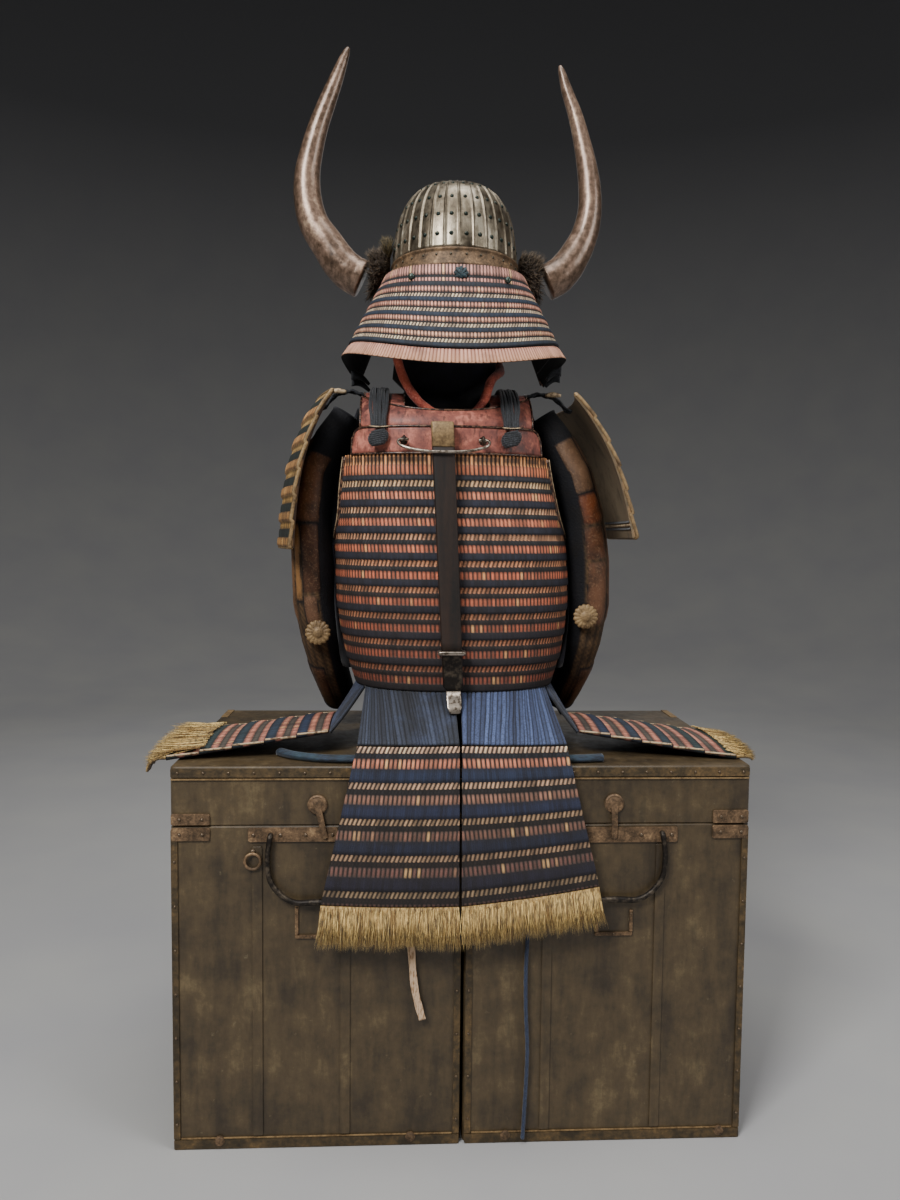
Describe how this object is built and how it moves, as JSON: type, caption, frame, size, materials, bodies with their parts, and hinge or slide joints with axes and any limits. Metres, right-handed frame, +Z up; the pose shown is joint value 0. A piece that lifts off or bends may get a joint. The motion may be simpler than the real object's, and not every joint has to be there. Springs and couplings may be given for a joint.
{
  "type": "samurai armour on a limbless form and two storage chests",
  "caption": "Laced samurai armour with horned helmet, sleeves, shoulder guards and tassets on a limbless form, standing on a pair of lacquered storage chests.",
  "frame": {"origin": "on the floor, under the middle of the chests and the side tassets", "axes": "+Z up, +Y towards the armour's own front, +X to the right as seen from its back"},
  "size_m": [0.937, 0.5149, 1.6942],
  "materials": {
    "lacing": "silk braid laced in rows over lacquered scales",
    "lacquer": "worn red-brown lacquer over leather",
    "strings": "faded indigo cords side by side",
    "hair": "tan boar-hair fringe",
    "iron": "patinated riveted iron",
    "dark_iron": "dark worn iron",
    "horn": "lacquered horn with golden wear",
    "fur": "coarse dark hair",
    "cloth": "black cotton cover",
    "cord": "black silk cord",
    "salmon": "padded red-pink cord",
    "sleeve": "cloth under lacquered splints and mail",
    "guard": "gold-lacquered lames laced with dark green braid",
    "wood": "dark lacquered wood",
    "brass": "dull tan brass",
    "cream": "cream ribbon",
    "chest": "dark olive-brown lacquered wood"
  },
  "bodies": {
    "root": {"chest_left": "chest", "chest_left_lid": "chest", "chest_right": "chest", "chest_right_lid": "chest", "chest_handle_left": "dark_iron", "chest_handle_right": "dark_iron", "form": "cloth", "cuirass_back": "lacing", "cuirass_front": "lacing", "back_plate": "lacquer", "collar_plate": "lacquer", "chest_plate": "lacquer", "shoulder_strap_left": "lacquer", "shoulder_strap_right": "lacquer", "shoulder_cords_left": "cord", "shoulder_cords_right": "cord", "pole_bracket": "brass", "pole": "wood", "pole_socket": "dark_iron", "tasset_rear_left": "lacing", "strings_rear_left": "strings", "fringe_rear_left": "hair", "tasset_rear_right": "lacing", "strings_rear_right": "strings", "fringe_rear_right": "hair", "tasset_front_left": "lacing", "fringe_front_left": "hair", "tasset_front_middle": "lacing", "fringe_front_middle": "hair", "tasset_front_right": "lacing", "fringe_front_right": "hair", "tasset_side_left": "lacing", "strings_side_left": "strings", "fringe_side_left": "hair", "tasset_side_right": "lacing", "strings_side_right": "strings", "fringe_side_right": "hair", "sleeve_left": "sleeve", "elbow_rosette_left": "brass", "sleeve_right": "sleeve", "elbow_rosette_right": "brass", "shoulder_guard_left": "guard", "guard_toggle_left": "cord", "shoulder_guard_right": "guard", "guard_toggle_right": "cord", "helmet_bowl": "iron", "helmet_band": "dark_iron", "visor": "dark_iron", "neck_guard": "lacing", "neck_guard_bottom_lame": "lacquer", "horn_left": "horn", "fur_tuft_left": "fur", "horn_right": "horn", "fur_tuft_right": "fur", "helmet_cord": "salmon", "tie_blue": "strings", "waist_sash": "strings", "tie_cream": "cream"},
    "bail": {"bail": "dark_iron"}
  },
  "joints": [
    {"name": "bail_swing", "type": "hinge", "parent": "root", "child": "bail", "pos_m": [-0.0215, -0.158, 1.062], "axis": [-1, 0, 0], "range_deg": [0, 90]}
  ]
}
